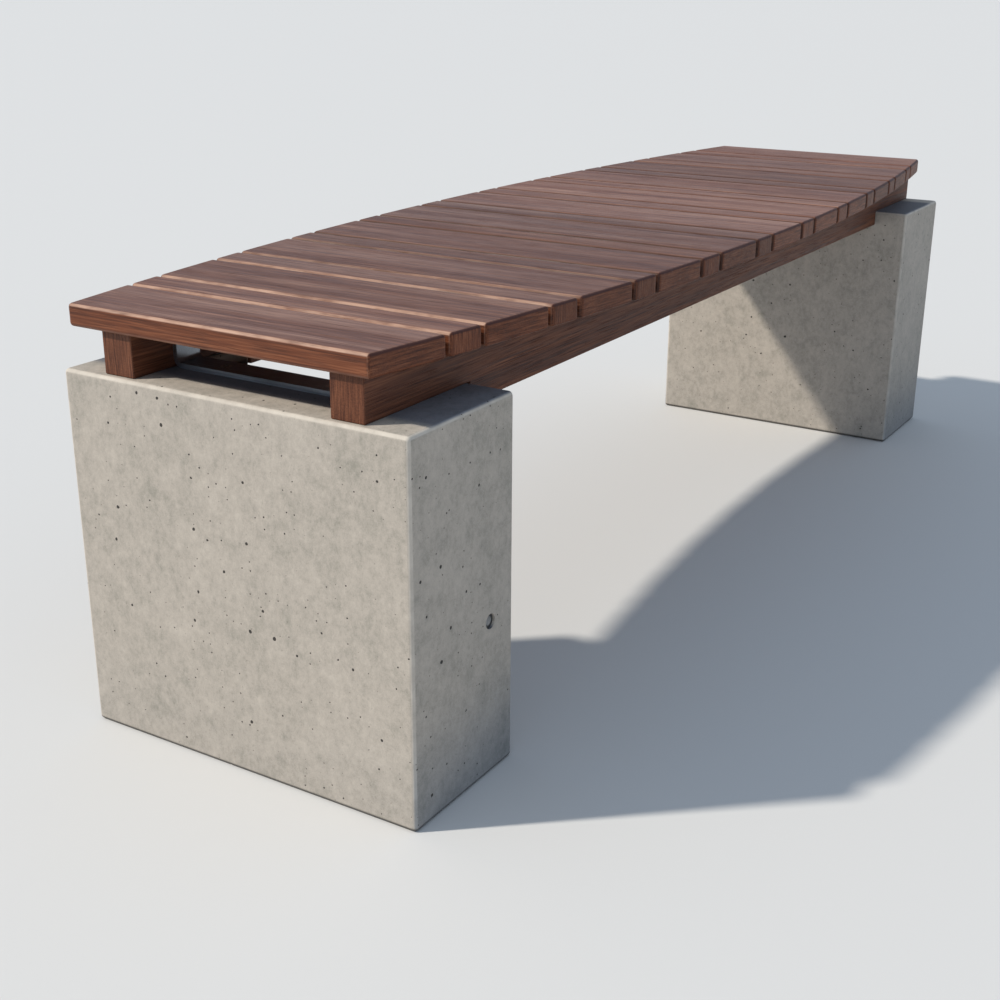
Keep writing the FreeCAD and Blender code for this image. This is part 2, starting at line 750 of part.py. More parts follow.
bench = makeBench()
doc.recompute()
checkDocument(bench)
exportNodes(bench)
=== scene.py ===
import math
import random

import bmesh
import bpy
from mathutils import Matrix, Vector


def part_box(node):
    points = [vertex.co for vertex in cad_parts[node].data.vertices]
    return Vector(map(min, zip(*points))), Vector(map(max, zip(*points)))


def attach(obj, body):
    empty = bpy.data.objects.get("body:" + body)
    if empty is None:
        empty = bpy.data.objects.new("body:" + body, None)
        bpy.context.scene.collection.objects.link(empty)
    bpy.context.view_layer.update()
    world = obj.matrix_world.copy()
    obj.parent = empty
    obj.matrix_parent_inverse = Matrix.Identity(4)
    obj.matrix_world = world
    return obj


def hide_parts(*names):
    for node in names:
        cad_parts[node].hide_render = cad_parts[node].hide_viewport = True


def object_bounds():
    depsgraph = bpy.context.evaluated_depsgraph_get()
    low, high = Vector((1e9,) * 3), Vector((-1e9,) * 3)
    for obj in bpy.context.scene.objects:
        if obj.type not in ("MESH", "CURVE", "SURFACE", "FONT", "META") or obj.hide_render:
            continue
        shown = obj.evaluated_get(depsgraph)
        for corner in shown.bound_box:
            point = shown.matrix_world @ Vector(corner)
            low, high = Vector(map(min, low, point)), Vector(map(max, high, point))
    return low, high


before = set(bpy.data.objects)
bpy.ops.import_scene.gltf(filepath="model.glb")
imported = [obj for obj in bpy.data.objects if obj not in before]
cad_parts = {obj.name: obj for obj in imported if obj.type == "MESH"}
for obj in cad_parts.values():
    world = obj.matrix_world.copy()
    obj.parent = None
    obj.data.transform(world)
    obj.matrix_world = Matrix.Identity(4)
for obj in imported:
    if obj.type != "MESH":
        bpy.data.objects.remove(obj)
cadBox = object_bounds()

scene = bpy.context.scene
rng = random.Random(7)
mergeDistance = 1e-6  # metres
flatAngle = 0.01      # radians, below which two faces are one
sharpTurn = 0.5       # radians, above which an edge is an arris
print("frame loaded:", len(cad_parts), "nodes")


# a finished bmesh becomes a piece that stands for its CAD node
def newMeshPiece(bm, name, material, node):
    bmesh.ops.recalc_face_normals(bm, faces=bm.faces)
    mesh = bpy.data.meshes.new(name)
    bm.to_mesh(mesh)
    bm.free()
    mesh.shade_smooth()
    mesh.materials.append(material)
    piece = bpy.data.objects.new(name, mesh)
    scene.collection.objects.link(piece)
    weighted = piece.modifiers.new("flatFaces", "WEIGHTED_NORMAL")
    weighted.keep_sharp = True
    weighted.weight = 100
    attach(piece, "root")
    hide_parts(node)
    return piece


def boxBetween(bm, low, high):
    size = Vector(high) - Vector(low)
    centre = (Vector(high) + Vector(low)) / 2
    matrix = Matrix.Translation(centre) @ Matrix.Diagonal((*size, 1))
    bmesh.ops.create_cube(bm, size=1, matrix=matrix)


def cutAt(bm, point, normal):
    geometry = bm.verts[:] + bm.edges[:] + bm.faces[:]
    bmesh.ops.bisect_plane(bm, geom=geometry, plane_co=point, plane_no=normal)


# faces drawn out along way, with no doubled points or flat edges left behind
def pullFaces(bm, faces, way):
    pulled = bmesh.ops.extrude_face_region(bm, geom=faces)
    moved = [v for v in pulled["geom"] if isinstance(v, bmesh.types.BMVert)]
    bmesh.ops.translate(bm, verts=moved, vec=way)
    bmesh.ops.delete(bm, geom=faces, context="FACES_ONLY")
    bmesh.ops.remove_doubles(bm, verts=bm.verts, dist=mergeDistance)
    bmesh.ops.dissolve_limit(bm, angle_limit=flatAngle, verts=bm.verts, edges=bm.edges)
    bmesh.ops.recalc_face_normals(bm, faces=bm.faces)


# every outward arris is rounded
def easeArrises(bm, width, segments):
    bm.normal_update()
    arrises = [e for e in bm.edges if e.is_manifold and e.calc_face_angle_signed() > sharpTurn]
    bmesh.ops.bevel(bm, geom=arrises, offset=width, offset_type="OFFSET", affect="EDGES",
                    segments=segments, profile=0.5, material=-1, clamp_overlap=True)


def fillLayer(bm, name, value):
    layer = bm.verts.layers.float.get(name) or bm.verts.layers.float.new(name)
    for vert in bm.verts:
        vert[layer] = value


# a cylinder that goes in from base and starts a little outside it
def addDrill(bm, base, direction, radius, depth, segments):
    overshoot = 0.004
    turn = Vector((0, 0, 1)).rotation_difference(Vector(direction)).to_matrix().to_4x4()
    place = Matrix.Translation(base) @ turn
    bmesh.ops.create_cone(bm, cap_ends=True, segments=segments, radius1=radius, radius2=radius,
                          depth=depth + overshoot,
                          matrix=place @ Matrix.Translation((0, 0, (depth - overshoot) / 2)))


# the drills are cut out of a piece, ahead of its normals modifier
def drillOut(piece, drills):
    bmesh.ops.recalc_face_normals(drills, faces=drills.faces)
    mesh = bpy.data.meshes.new("drills")
    drills.to_mesh(mesh)
    drills.free()
    cutter = bpy.data.objects.new("drills", mesh)
    scene.collection.objects.link(cutter)
    cut = piece.modifiers.new("cut", "BOOLEAN")
    cut.operation = "DIFFERENCE"
    cut.solver = "EXACT"
    cut.object = cutter
    bpy.context.view_layer.objects.active = piece
    piece.modifiers.move(len(piece.modifiers) - 1, 0)
    with bpy.context.temp_override(object=piece, active_object=piece):
        bpy.ops.object.modifier_apply(modifier="cut")
    bpy.data.objects.remove(cutter)


# short ways to write shader nodes
def startMaterial(name):
    material = bpy.data.materials.new(name)
    material.use_nodes = True
    tree = material.node_tree
    tree.nodes.clear()
    output = tree.nodes.new("ShaderNodeOutputMaterial")
    shader = tree.nodes.new("ShaderNodeBsdfPrincipled")
    tree.links.new(shader.outputs["BSDF"], output.inputs["Surface"])
    return material, tree, shader


def addNode(tree, kind, inputs=None, **settings):
    node = tree.nodes.new("ShaderNode" + kind)
    for key, value in settings.items():
        setattr(node, key, value)
    for key, value in (inputs or {}).items():
        if isinstance(value, bpy.types.NodeSocket):
            tree.links.new(value, node.inputs[key])
        else:
            node.inputs[key].default_value = value
    return node


def mathNode(tree, operation, a, b=0.0, c=0.0):
    return addNode(tree, "Math", {0: a, 1: b, 2: c}, operation=operation).outputs[0]


def multiply(tree, a, b):
    return mathNode(tree, "MULTIPLY", a, b)


def mapRange(tree, value, low, high, outLow=0.0, outHigh=1.0, smooth=False):
    node = addNode(tree, "MapRange", {0: value, 1: low, 2: high, 3: outLow, 4: outHigh})
    if smooth:
        node.interpolation_type = "SMOOTHSTEP"
    return node.outputs[0]


def mixColour(tree, factor, a, b, blend="MIX"):
    node = addNode(tree, "Mix", {0: factor, 6: a, 7: b}, data_type="RGBA", blend_type=blend)
    return node.outputs[2]


# the colour multiplied by a stain, as far as factor says
def stained(tree, factor, colour, stain):
    return mixColour(tree, factor, colour, mixColour(tree, 1.0, colour, stain + (1,), "MULTIPLY"))


def mixValue(tree, factor, a, b):
    return addNode(tree, "Mix", {0: factor, 2: a, 3: b}, data_type="FLOAT").outputs[0]


def mixVector(tree, factor, a, b):
    return addNode(tree, "Mix", {0: factor, 4: a, 5: b}, data_type="VECTOR").outputs[1]


def addVectors(tree, a, b):
    return addNode(tree, "VectorMath", {0: a, 1: b}, operation="ADD").outputs[0]


# cells is a number of cells per metre along each axis
def noiseAt(tree, vector, cells, detail=3.0, roughness=0.55, distortion=0.0):
    mapping = addNode(tree, "Mapping", {"Vector": vector, "Scale": cells})
    node = addNode(tree, "TexNoise", {"Vector": mapping.outputs[0], "Scale": 1.0, "Detail": detail,
                                      "Roughness": roughness, "Distortion": distortion})
    return node.outputs[0]


# patterns added up, each by its share
def blendOf(tree, patterns, shares):
    total = multiply(tree, patterns[-1], shares[-1])
    for pattern, share in list(zip(patterns, shares))[-2::-1]:
        total = mathNode(tree, "MULTIPLY_ADD", pattern, share, total)
    return total


def rampOf(tree, factor, positions, colours):
    node = addNode(tree, "ValToRGB", {0: factor})
    elements = node.color_ramp.elements
    while len(elements) < len(positions):
        elements.new(0.5)
    for element, position, colour in zip(elements, positions, colours):
        element.position = position
        element.color = (*colour, 1)
    return node.outputs[0]


def attributeOf(tree, name):
    return addNode(tree, "Attribute", attribute_name=name).outputs["Fac"]


def separate(tree, vector):
    return addNode(tree, "SeparateXYZ", {0: vector}).outputs


def combine(tree, x, y, z):
    return addNode(tree, "CombineXYZ", {0: x, 1: y, 2: z}).outputs[0]


def placeOf(tree):
    return addNode(tree, "TexCoord").outputs["Object"]


def normalOf(tree):
    return separate(tree, addNode(tree, "NewGeometry").outputs["Normal"])


# 0 on the flat faces, 1 in the middle of the rounded arrises
def roundingMask(tree, normal):
    flatFrom, roundFrom = 0.985, 0.90
    sides = [mathNode(tree, "ABSOLUTE", part) for part in normal]
    largest = mathNode(tree, "MAXIMUM", mathNode(tree, "MAXIMUM", sides[0], sides[1]), sides[2])
    return mapRange(tree, largest, flatFrom, roundFrom, 0, 1, True)


def addBump(tree, shader, height, strength, distance):
    bump = addNode(tree, "Bump", {"Height": height, "Strength": strength, "Distance": distance})
    tree.links.new(bump.outputs[0], shader.inputs["Normal"])


# cells are counted per metre across the grain, along it and through the board
timberLook = {
    "dark": (0.048, 0.016, 0.010),
    "middle": (0.144, 0.047, 0.022),
    "light": (0.280, 0.108, 0.052),
    "figureAt": (0.375, 0.50, 0.64),
    # the top's colours: partly weathering, partly a painted sky reflection on the up-facing faces
    "weatherSheenDark": (0.092, 0.046, 0.040),
    "weatherSheen": (0.178, 0.100, 0.082),
    "weatherSheenLight": (0.290, 0.178, 0.142),
    "weatherSheenAt": (0.415, 0.50, 0.60),
    "weatherSheenShare": (0.55, 0.95),
    "redTint": (1.06, 0.94, 0.84),
    "greyTint": (0.92, 0.98, 1.04),
    "liftRange": (0.68, 1.26),       # darkest and lightest board
    # pale arris colour: partly wear, partly a painted highlight of the sunlit roundings
    "wornGlint": (0.440, 0.265, 0.190),
    "wornGlintPatches": (0.30, 1.0),
    # painted shade line along the end grain's top arrises
    "endEdgeShade": (0.056, 0.018, 0.015),
    "endEdgeShadeStrength": 0.85,
    # painted shade colour for the walls of the gaps
    "hollowShade": (0.034, 0.015, 0.011),
    "hollowShadeStrength": 0.85,
    "boardOffset": (3.7, 9.1, 5.3),  # metres that a board's pattern shifts by
    "swayCells": (6, 2.2, 6),
    "swayAside": 0.005,
    "swayThrough": 0.003,
    "fineCells": (760, 12, 560),
    "streakCells": (270, 4.2, 300),
    "broadCells": (40, 1.5, 60),
    "grainShares": (0.42, 0.36, 0.22),
    "flatLayerCells": (34, 2, 620),
    "edgeLayerCells": (620, 2, 34),
    "layerShare": 0.55,
    "layerFloor": 0.125,
    "speckCells": (900, 900, 900),
    "speckShare": 0.18,
    "poreCells": (1100, 26, 1100),
    "poreStrength": 0.42,
    "wearGlintCells": (90, 26, 90),
    "roughness": (0.42, 0.60),
    "poreRoughness": 0.15,
    "bumpStrength": 0.4,
    "bumpDistance": 0.0007,
    "specular": 0.22,
}
# a slightly darker copy of the slat timber; the darkening is painted shade under the seat
bearerLook = dict(timberLook, middle=(0.134, 0.050, 0.026), light=(0.246, 0.102, 0.054))


def makeTimber(name, look, along):
    # along is the grain's axis, 0 for X and 1 for Y
    material, tree, shader = startMaterial(name)
    shift = attributeOf(tree, "boardShift")
    moved = combine(tree, *(multiply(tree, shift, metres) for metres in look["boardOffset"]))
    place = addVectors(tree, placeOf(tree), moved)
    normal = normalOf(tree)
    if along == 0:  # the patterns below run along Y
        x, y, z = separate(tree, place)
        place = combine(tree, y, x, z)
    endNormal = mathNode(tree, "ABSOLUTE", normal[along])
    onEnd = mapRange(tree, endNormal, 0.70, 0.80, 0, 1, True)

    sway = noiseAt(tree, place, look["swayCells"], 2)
    aside, through = look["swayAside"], look["swayThrough"]
    swayed = addVectors(tree, place, combine(tree, mapRange(tree, sway, 0, 1, -aside, aside), 0.0,
                                             mapRange(tree, sway, 0, 1, through, -through)))
    fine = noiseAt(tree, swayed, look["fineCells"], 3, 0.65)
    streak = noiseAt(tree, swayed, look["streakCells"], 4, 0.65)
    broad = noiseAt(tree, swayed, look["broadCells"], 3)
    long = blendOf(tree, (fine, streak, broad), look["grainShares"])
    flatLayers = noiseAt(tree, swayed, look["flatLayerCells"], 4, 0.65)
    edgeLayers = noiseAt(tree, swayed, look["edgeLayerCells"], 4, 0.65)
    layers = mixValue(tree, attributeOf(tree, "quarterSawn"), flatLayers, edgeLayers)
    speck = noiseAt(tree, place, look["speckCells"], 2)
    cross = mathNode(tree, "MULTIPLY_ADD", speck, look["speckShare"],
                     mathNode(tree, "MULTIPLY_ADD", layers, look["layerShare"], look["layerFloor"]))
    figure = mixValue(tree, onEnd, long, cross)

    # oiled on the sides, weathered on top, where the mauve-grey is partly weathering and partly a painted
    # sky reflection
    colour = rampOf(tree, figure, look["figureAt"], (look["dark"], look["middle"], look["light"]))
    weatherSheenColour = rampOf(tree, figure, look["weatherSheenAt"],
                   (look["weatherSheenDark"], look["weatherSheen"], look["weatherSheenLight"]))
    facingUp = mapRange(tree, normal[2], 0.60, 0.97, 0, 1, True)
    patchiness = mapRange(tree, broad, 0.35, 0.65, *look["weatherSheenShare"])
    colour = mixColour(tree, multiply(tree, facingUp, patchiness), colour, weatherSheenColour)

    # one board differs from the next in tint and in lightness
    tint = mixColour(tree, attributeOf(tree, "boardTone"), look["redTint"] + (1,), look["greyTint"] + (1,))
    colour = mixColour(tree, 1.0, colour, tint, "MULTIPLY")
    lift = mapRange(tree, attributeOf(tree, "boardLift"), 0, 1, *look["liftRange"])
    colour = mixColour(tree, 1.0, colour, combine(tree, lift, lift, lift), "MULTIPLY")

    pores = noiseAt(tree, swayed, look["poreCells"], 1, 0.4)
    poreMask = multiply(tree, mapRange(tree, pores, 0.57, 0.68, 0, 1, True),
                        mathNode(tree, "SUBTRACT", 1.0, onEnd))
    colour = mixColour(tree, multiply(tree, poreMask, look["poreStrength"]), colour, look["dark"] + (1,))

    # worn arrises with a painted highlight, strongest on the boards at the seat's left end, and a painted
    # dark shade line on the end grain's top arrises
    rounding = roundingMask(tree, normal)
    towardsEnd = mapRange(tree, endNormal, 0.20, 0.55, 0, 1, True)
    patchy = mapRange(tree, noiseAt(tree, place, look["wearGlintCells"], 3), 0.36, 0.60, *look["wornGlintPatches"])
    wornGlint = multiply(tree, multiply(tree, rounding, patchy), attributeOf(tree, "boardWearGlint"))
    wornGlint = multiply(tree, wornGlint, mathNode(tree, "SUBTRACT", 1.0, towardsEnd))
    wornGlint = multiply(tree, wornGlint, mapRange(tree, normal[2], -0.3, 0.3, 0.25, 1.0, True))
    colour = mixColour(tree, wornGlint, colour, look["wornGlint"] + (1,))
    # painted shade on the top arrises towards the board ends
    onTop = mapRange(tree, normal[2], 0.15, 0.45, 0, look["endEdgeShadeStrength"], True)
    endEdgeShaded = multiply(tree, multiply(tree, rounding, towardsEnd), onTop)
    colour = mixColour(tree, endEdgeShaded, colour, look["endEdgeShade"] + (1,))

    # painted shade on the walls of the gaps, more on the boards away from the seat's left end
    wall = mapRange(tree, mathNode(tree, "ABSOLUTE", normal[0]), 0.35, 0.85, 0, look["hollowShadeStrength"], True)
    hollowShade = multiply(tree, wall, attributeOf(tree, "gapShade"))
    colour = mixColour(tree, hollowShade, colour, look["hollowShade"] + (1,))
    tree.links.new(colour, shader.inputs["Base Color"])

    rough = mapRange(tree, streak, 0.3, 0.7, *look["roughness"])
    rough = mathNode(tree, "MULTIPLY_ADD", poreMask, look["poreRoughness"], rough)
    tree.links.new(rough, shader.inputs["Roughness"])
    height = mathNode(tree, "MULTIPLY_ADD", figure, 1.1, multiply(tree, poreMask, -0.6))
    addBump(tree, shader, height, look["bumpStrength"], look["bumpDistance"])
    shader.inputs["Specular IOR Level"].default_value = look["specular"]
    return material


slatTimber = makeTimber("slatTimber", timberLook, 1)
bearerTimber = makeTimber("bearerTimber", bearerLook, 0)
print("timber ready")


# cells are counted per metre, and each pair of lengths in metres is where a mask starts and is full
concreteLook = {
    "pale": (0.490, 0.442, 0.384),
    "middle": (0.412, 0.370, 0.322),
    "cloud": (0.288, 0.270, 0.230),
    "mottleAt": (0.38, 0.50, 0.61),
    "cloudCells": (11, 11, 9),
    "patchCells": (42, 42, 38),
    "smudgeCells": (150, 150, 120),
    "sandCells": (700, 700, 700),
    "mottleShares": (0.17, 0.38, 0.31, 0.14),
    "freckleCells": (240, 240, 190),
    "freckleStrength": 0.6,
    "arris": (0.590, 0.538, 0.470),
    "arrisCells": (45, 45, 45),
    "arrisPatches": (0.35, 0.95),
    "dustAndShade": (0.23, 0.28, 0.41),           # painted shade where the seat shades the top
    "seatShadeStrength": 0.85,
    "seatShadeFrom": (0.026, 0.046),           # from the leg's outer face
    "rebate": (0.34, 0.27, 0.22),         # painted shade in the rebate
    "rebateStrength": 0.9,
    "rebateFrom": (0.0945, 0.0952),       # from the leg's outer face
    "rebateAbove": (0.3650, 0.3658),
    "rebateWithin": (0.1210, 0.1195),     # either side of the leg's middle
    # painted bluish shade low on the faces
    "groundShade": (0.57, 0.65, 0.77),
    "groundShadeCells": (9, 9, 5),
    "groundShadeRagged": 0.05,
    "groundShadeBelow": (0.02, 0.16),
    "groundShadeStrength": (0.12, 0.85),         # on the wide faces and on the narrow ones
    "footBelow": (0.0025, 0.0055),
    "footStrength": 0.8,
    # near-black painted shade, for the air holes and the foot line
    "hole": (0.030, 0.027, 0.024),
    "holeStrength": 0.96,
    "crowdCells": (11, 11, 11),
    "crowdShare": (0.05, 0.62),
    "largeHoles": (31, 0.0007, 0.0021),   # cells, smallest and largest radius
    "smallHoles": (88, 0.0003, 0.0010),
    "smallShare": 0.6,
    "driftCells": (90, 90, 90),           # keeps the holes from being exactly round
    "driftAcross": 0.0015,
    "driftUp": 0.0012,
    "roughness": (0.62, 0.82),
    "bumpStrength": 0.5,
    "bumpDistance": 0.001,
    "specular": 0.35,
}


def holeMask(tree, flat, share, cells, smallest, largest):
    # round air holes scattered over a face: a share of the cells has one each
    softInside, softOutside = 0.0003, -0.0002
    voronoi = addNode(tree, "TexVoronoi", {"Vector": flat, "Scale": cells}, voronoi_dimensions="2D",
                      feature="F1")
    distance = mathNode(tree, "DIVIDE", voronoi.outputs["Distance"], cells)
    draw = separate(tree, voronoi.outputs["Color"])
    present = mathNode(tree, "LESS_THAN", draw[0], share)
    size = mapRange(tree, mathNode(tree, "POWER", draw[1], 1.8), 0, 1, smallest, largest)
    inner = mathNode(tree, "SUBTRACT", multiply(tree, size, present), distance)
    return mapRange(tree, inner, softOutside, softInside, 0, 1, True)


def makeConcrete(name, look):
    material, tree, shader = startMaterial(name)
    place = placeOf(tree)
    normal = normalOf(tree)
    x, y, z = separate(tree, place)
    facing = [mathNode(tree, "GREATER_THAN", mathNode(tree, "ABSOLUTE", part), 0.7) for part in normal]
    flat = mixVector(tree, facing[0], combine(tree, x, z, 0.0), combine(tree, y, z, 0.0))
    flat = mixVector(tree, facing[2], flat, combine(tree, x, y, 0.0))
    drift = noiseAt(tree, place, look["driftCells"], 2)
    across, up = look["driftAcross"], look["driftUp"]
    flat = addVectors(tree, flat, combine(tree, mapRange(tree, drift, 0, 1, -across, across),
                                          mapRange(tree, drift, 0, 1, up, -up), 0.0))

    cloud = noiseAt(tree, place, look["cloudCells"], 4, 0.6, 0.4)
    patch = noiseAt(tree, place, look["patchCells"], 6, 0.75, 0.3)
    smudge = noiseAt(tree, place, look["smudgeCells"], 4, 0.75)
    sand = noiseAt(tree, place, look["sandCells"], 2, 0.5)
    mottle = blendOf(tree, (cloud, patch, smudge, sand), look["mottleShares"])
    colour = rampOf(tree, mottle, look["mottleAt"], (look["cloud"], look["middle"], look["pale"]))
    freckle = mapRange(tree, noiseAt(tree, place, look["freckleCells"], 4, 0.75), 0.58, 0.72, 0,
                       look["freckleStrength"], True)
    colour = mixColour(tree, freckle, colour, look["cloud"] + (1,))

    # rubbed arrises
    broken = mapRange(tree, noiseAt(tree, place, look["arrisCells"], 4), 0.35, 0.65, *look["arrisPatches"])
    colour = mixColour(tree, multiply(tree, roundingMask(tree, normal), broken), colour,
                       look["arris"] + (1,))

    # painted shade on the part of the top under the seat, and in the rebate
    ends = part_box("leg_left")
    fromOuter = mathNode(tree, "SUBTRACT", -ends[0].x, mathNode(tree, "ABSOLUTE", x))
    facingUp = mapRange(tree, normal[2], 0.6, 0.95, 0, look["seatShadeStrength"], True)
    seatShade = multiply(tree, mapRange(tree, fromOuter, *look["seatShadeFrom"], 0, 1, True), facingUp)
    colour = stained(tree, seatShade, colour, look["dustAndShade"])
    fromMiddle = mathNode(tree, "ABSOLUTE", mathNode(tree, "SUBTRACT", y, (ends[0].y + ends[1].y) / 2))
    # painted shade in the rebate
    inRebate = multiply(tree, mapRange(tree, fromOuter, *look["rebateFrom"]),
                        multiply(tree, mapRange(tree, z, *look["rebateAbove"]),
                                 mapRange(tree, fromMiddle, *look["rebateWithin"])))
    colour = stained(tree, multiply(tree, inRebate, look["rebateStrength"]), colour, look["rebate"])

    # painted bluish shade near the ground, mostly on the narrow faces, and a painted dark shade line at the
    # foot
    ragged = noiseAt(tree, place, look["groundShadeCells"], 4)
    raised = mathNode(tree, "MULTIPLY_ADD", ragged, look["groundShadeRagged"], z)
    low = mapRange(tree, raised, *look["groundShadeBelow"], 1.0, 0.0, True)
    onSides = mapRange(tree, mathNode(tree, "ABSOLUTE", normal[1]), 0.3, 0.8, *look["groundShadeStrength"], True)
    colour = stained(tree, multiply(tree, low, onSides), colour, look["groundShade"])
    # painted shade: a dark line where the leg meets the ground
    foot = mapRange(tree, z, *look["footBelow"], look["footStrength"], 0.0, True)
    colour = mixColour(tree, foot, colour, look["hole"] + (1,))

    # air holes, each filled with painted shade
    crowd = mapRange(tree, noiseAt(tree, place, look["crowdCells"], 2), 0.35, 0.65, *look["crowdShare"])
    large = holeMask(tree, flat, crowd, *look["largeHoles"])
    small = holeMask(tree, flat, multiply(tree, crowd, look["smallShare"]), *look["smallHoles"])
    holes = mathNode(tree, "MAXIMUM", large, small)
    colour = mixColour(tree, multiply(tree, holes, look["holeStrength"]), colour, look["hole"] + (1,))
    tree.links.new(colour, shader.inputs["Base Color"])

    tree.links.new(mapRange(tree, patch, 0.3, 0.7, *look["roughness"]), shader.inputs["Roughness"])
    shader.inputs["Specular IOR Level"].default_value = look["specular"]
    height = blendOf(tree, (holes, sand, patch), (-2.2, 0.16, 0.35))
    addBump(tree, shader, height, look["bumpStrength"], look["bumpDistance"])
    return material


castConcrete = makeConcrete("castConcrete", concreteLook)
print("concrete ready")


strapLook = {
    "dark": (0.30, 0.33, 0.37),
    "light": (0.52, 0.56, 0.61),
    "roughness": (0.30, 0.46),
    "brushCells": (900, 18, 900),
}
screwLook = {
    "dark": (0.42, 0.43, 0.45),
    "light": (0.62, 0.63, 0.65),
    "roughness": (0.24, 0.38),
    "brushCells": (500, 500, 60),
}
socketLook = {
    "dark": (0.38, 0.39, 0.38),
    "light": (0.56, 0.57, 0.55),
    "roughness": (0.38, 0.52),
    "brushCells": (160, 160, 160),
}
plugLook = {
    "dark": (0.17, 0.17, 0.17),
    "light": (0.30, 0.295, 0.285),
    # painted shade ringing the plug, where the recess rim shades it
    "hollowShade": (0.020, 0.020, 0.021),
    "hollowShadeStrength": 0.92,
    "hollowShadeFrom": (0.50, 0.72),      # shares of the plug's radius
    "roughness": (0.45, 0.7),
    "dustCells": (300, 300, 300),
}


def makeSteel(name, look):
    material, tree, shader = startMaterial(name)
    place = placeOf(tree)
    brushed = noiseAt(tree, place, look["brushCells"], 3, 0.6)
    stain = noiseAt(tree, place, (35, 35, 35), 4, 0.6)
    mixed = blendOf(tree, (brushed, stain), (0.55, 0.45))
    colour = rampOf(tree, mixed, (0.35, 0.65), (look["dark"], look["light"]))
    tree.links.new(colour, shader.inputs["Base Color"])
    shader.inputs["Metallic"].default_value = 1.0
    tree.links.new(mapRange(tree, mixed, 0.3, 0.7, *look["roughness"]), shader.inputs["Roughness"])
    addBump(tree, shader, brushed, 0.12, 0.0003)
    return material


def makePlugPlastic(name, look):
    material, tree, shader = startMaterial(name)
    place = placeOf(tree)
    dustAndShade = noiseAt(tree, place, look["dustCells"], 4, 0.65)
    colour = rampOf(tree, dustAndShade, (0.35, 0.65), (look["dark"], look["light"]))
    low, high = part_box("lifting_plugs")
    x, y, z = separate(tree, place)
    radius = (high.z - low.z) / 2
    across = mathNode(tree, "SUBTRACT", mathNode(tree, "ABSOLUTE", x), high.x - radius)
    upwards = mathNode(tree, "SUBTRACT", z, (low.z + high.z) / 2)
    outwards = addNode(tree, "VectorMath", {0: combine(tree, across, 0.0, upwards)}, operation="LENGTH")
    # the plug darkens towards its rim: painted shade from the recess
    clean, dirty = (radius * share for share in look["hollowShadeFrom"])
    hollowShade = mapRange(tree, outwards.outputs["Value"], clean, dirty, 0.0, look["hollowShadeStrength"], True)
    colour = mixColour(tree, hollowShade, colour, look["hollowShade"] + (1,))
    tree.links.new(colour, shader.inputs["Base Color"])
    tree.links.new(mapRange(tree, dustAndShade, 0.3, 0.7, *look["roughness"]), shader.inputs["Roughness"])
    addBump(tree, shader, dustAndShade, 0.2, 0.0003)
    return material


strapSteel = makeSteel("strapSteel", strapLook)
screwSteel = makeSteel("screwSteel", screwLook)
socketSteel = makeSteel("socketSteel", socketLook)
plugPlastic = makePlugPlastic("plugPlastic", plugLook)

hardware = {
    "strap_left": strapSteel,
    "strap_right": strapSteel,
    "anchor_screws": screwSteel,
    "tab_screws": screwSteel,
    "slat_screws": screwSteel,
    "anchor_sockets": socketSteel,
    "lifting_ferrules": socketSteel,
    "lifting_plugs": plugPlastic,
}
for nodeName, material in hardware.items():
    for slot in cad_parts[nodeName].material_slots:
        slot.material = material
print("hardware finished:", len(hardware), "nodes")


slats = {
    "outlineRadius": 4.58,         # plan curve of the ends
    "easing": 0.004,               # rounded arrises
    "easingSegments": 4,
    "cuts": 6,                     # across each board, so its ends follow the curve
    "toneRange": (0.15, 0.95),
    "liftRange": (0.2, 0.8),
    "wearGlintFrom": -0.28,             # the arrises carry wear and a painted highlight, more towards the seat's left end
    "wearGlintLength": 0.27,
    "leastWearGlint": 0.05,
}
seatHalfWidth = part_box("wide_slat_06")[1].y


def halfWidthAt(x):
    radius = slats["outlineRadius"]
    return math.sqrt(radius ** 2 - x ** 2) - radius + seatHalfWidth


def makeSlat(nodeName):
    low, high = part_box(nodeName)
    bm = bmesh.new()
    boxBetween(bm, low, high)
    for step in range(1, slats["cuts"] + 1):
        x = low.x + (high.x - low.x) * step / (slats["cuts"] + 1)
        cutAt(bm, (x, 0, 0), (1, 0, 0))
    for vert in bm.verts:
        vert.co.y = math.copysign(halfWidthAt(vert.co.x), vert.co.y)
    easeArrises(bm, slats["easing"], slats["easingSegments"])
    # wear and painted highlight, graded from the seat's left end
    wornGlint = min(1.0, max(0.0, (slats["wearGlintFrom"] - (low.x + high.x) / 2) / slats["wearGlintLength"]))
    wearGlint = slats["leastWearGlint"] + (1.0 - slats["leastWearGlint"]) * wornGlint
    isLast = high.x > cadBox[1][0] - 0.001  # its outer face is in no gap
    fillLayer(bm, "boardShift", rng.uniform(0, 1))
    fillLayer(bm, "boardTone", rng.uniform(*slats["toneRange"]))
    fillLayer(bm, "boardLift", rng.uniform(*slats["liftRange"]))
    fillLayer(bm, "quarterSawn", 1.0 if nodeName.startswith("narrow") else 0.0)
    fillLayer(bm, "boardWearGlint", wearGlint)
    fillLayer(bm, "gapShade", 0.0 if isLast else 1.0 - wearGlint)
    newMeshPiece(bm, nodeName.replace("slat", "board"), slatTimber, nodeName)


slatNodes = sorted(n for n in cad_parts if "_slat_" in n)
for nodeName in slatNodes:
    makeSlat(nodeName)
print("slats made:", len(slatNodes))


bearers = {
    "easing": 0.0015,
    "easingSegments": 3,
    "shoulder": 0.613,             # middle of the bench to the notch
    "toneRange": (0.1, 0.4),
    "liftRange": (0.3, 0.5),
    "quarterSawn": 0.92,
    "wearGlint": 0.25,
    "headBore": 0.006,             # radius of the screw-head bores underneath
    "headSeat": 0.004,             # their floor above the legs' top
    "boreSegments": 20,
    "screwPitch": 0.148,
    "pairSpread": 0.060,
    "pitchesEachWay": 5,
}


